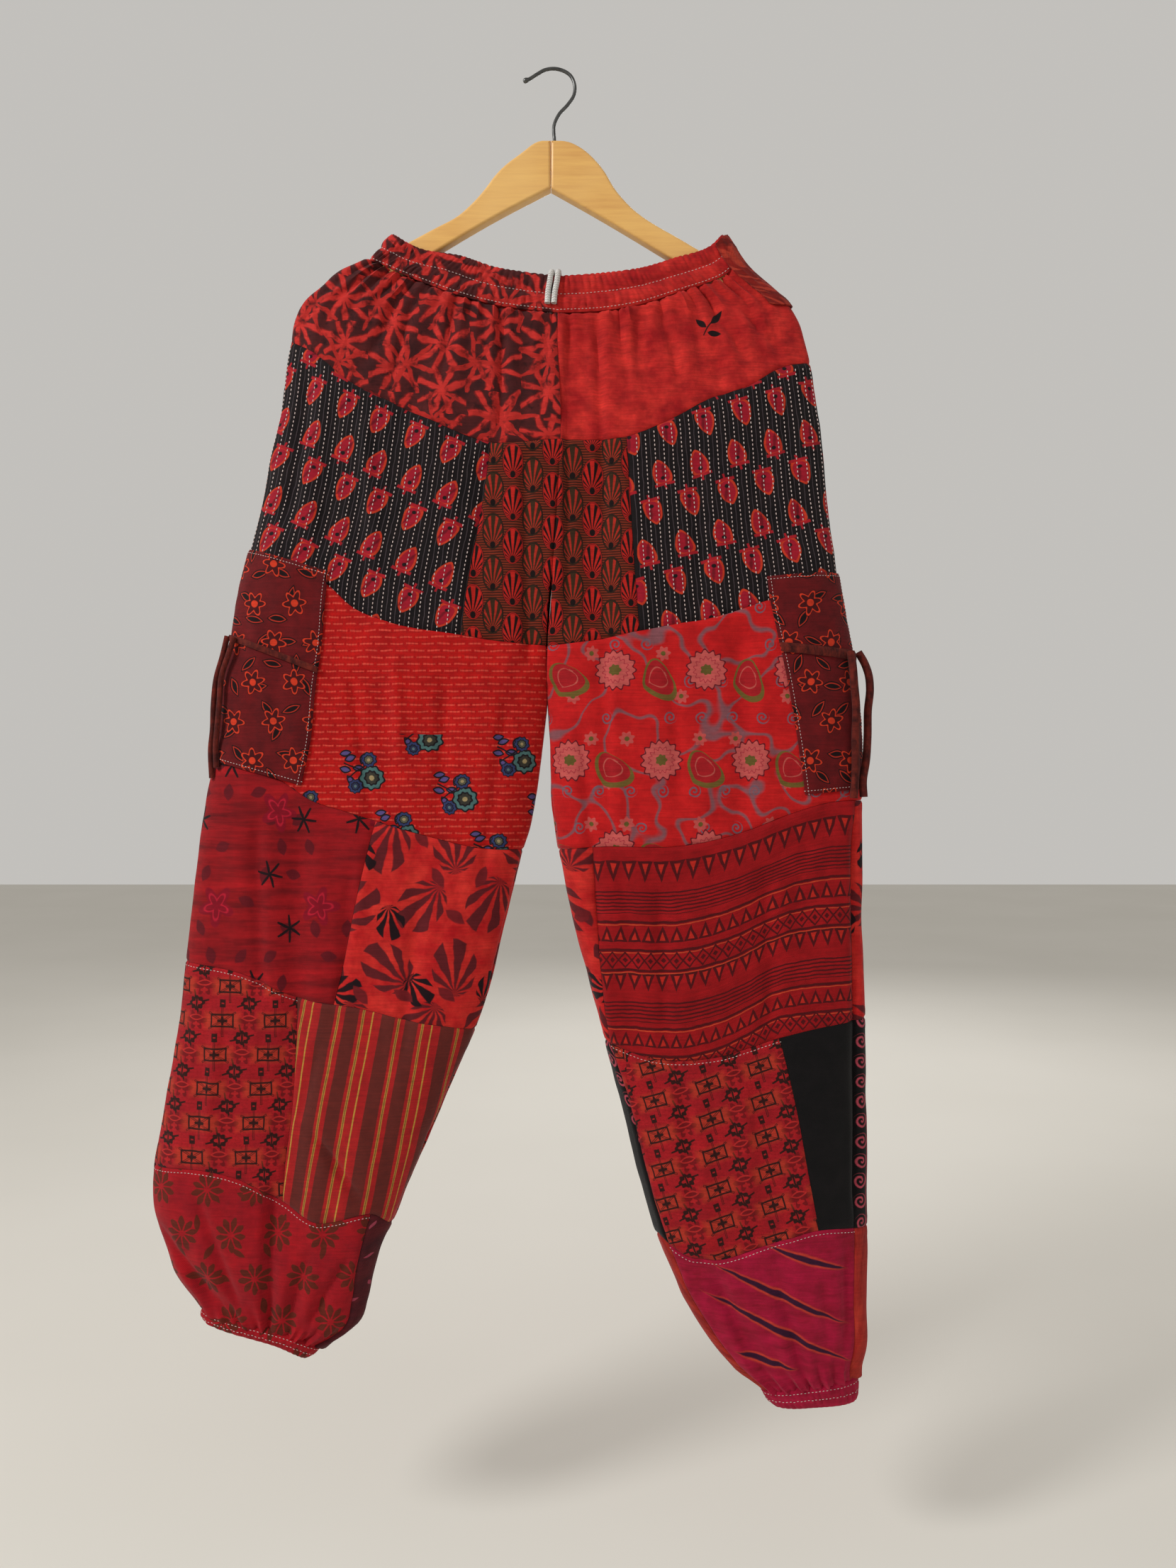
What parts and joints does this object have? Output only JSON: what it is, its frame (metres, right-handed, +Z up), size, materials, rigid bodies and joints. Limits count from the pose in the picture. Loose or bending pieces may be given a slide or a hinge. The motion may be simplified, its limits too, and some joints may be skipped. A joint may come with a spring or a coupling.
{
  "type": "patchwork harem pants on a wooden hanger",
  "caption": "Wide-legged patchwork pants with a gathered elastic waist, patch pockets and elastic cuffs, hanging flat on a wooden coat hanger.",
  "frame": {"origin": "the inner top of the hanger hook's loop, where it rests on a rail", "axes": "+Z up along the hanging pants, +X to the right seen from the front, which faces -Y"},
  "size_m": [0.6158, 0.0489, 1.1499],
  "materials": {
    "batik": "matte printed cotton",
    "tie_dye": "matte dyed cotton",
    "kantha": "matte stitched cotton",
    "fans": "matte printed cotton",
    "dobby": "soft woven cotton",
    "floral": "soft printed cotton",
    "slub": "matte slub cotton",
    "leaves": "matte printed cotton",
    "tiles": "matte block print",
    "stripes": "matte printed cotton",
    "damask": "satin weave",
    "borders": "matte block print",
    "black": "matte cotton",
    "magenta": "matte printed cotton",
    "coral": "matte cotton",
    "maroon": "matte printed cotton",
    "pocket": "matte printed cotton",
    "tie": "matte cotton",
    "patch": "matte cotton",
    "string": "braided cotton",
    "wood": "clear varnish",
    "steel": "bright wire"
  },
  "bodies": {
    "root": {"waistband_left": "batik", "waistband_right": "tie_dye", "hip_patch": "patch", "yoke_front_left": "batik", "yoke_back_left": "batik", "yoke_front_right": "tie_dye", "yoke_back_right": "tie_dye", "hip_front_left": "kantha", "hip_back_left": "kantha", "hip_front_right": "kantha", "hip_back_right": "kantha", "centre_left": "fans", "centre_right": "fans", "upper_front_left": "dobby", "upper_back_left": "dobby", "upper_front_right": "floral", "upper_back_right": "floral", "middle_outer_left": "slub", "middle_inner_left": "leaves", "middle_back_left": "leaves", "middle_front_right": "borders", "middle_back_right": "leaves", "lower_outer_left": "tiles", "lower_inner_left": "stripes", "lower_back_left": "tiles", "lower_front_right": "tiles", "lower_outer_right": "black", "lower_back_right": "black", "foot_front_left": "damask", "foot_back_left": "maroon", "foot_front_right": "magenta", "foot_back_right": "coral", "cuff_left": "damask", "cuff_right": "magenta", "pocket_left": "pocket", "pocket_right": "pocket", "strap_left": "tie", "strap_right": "tie", "tie_left_inner": "tie", "tie_left_outer": "tie", "tie_right_inner": "tie", "tie_right_outer": "tie", "drawstring_left": "string", "drawstring_right": "string", "arm_left": "wood", "arm_right": "wood", "hook": "steel"}
  },
  "joints": []
}
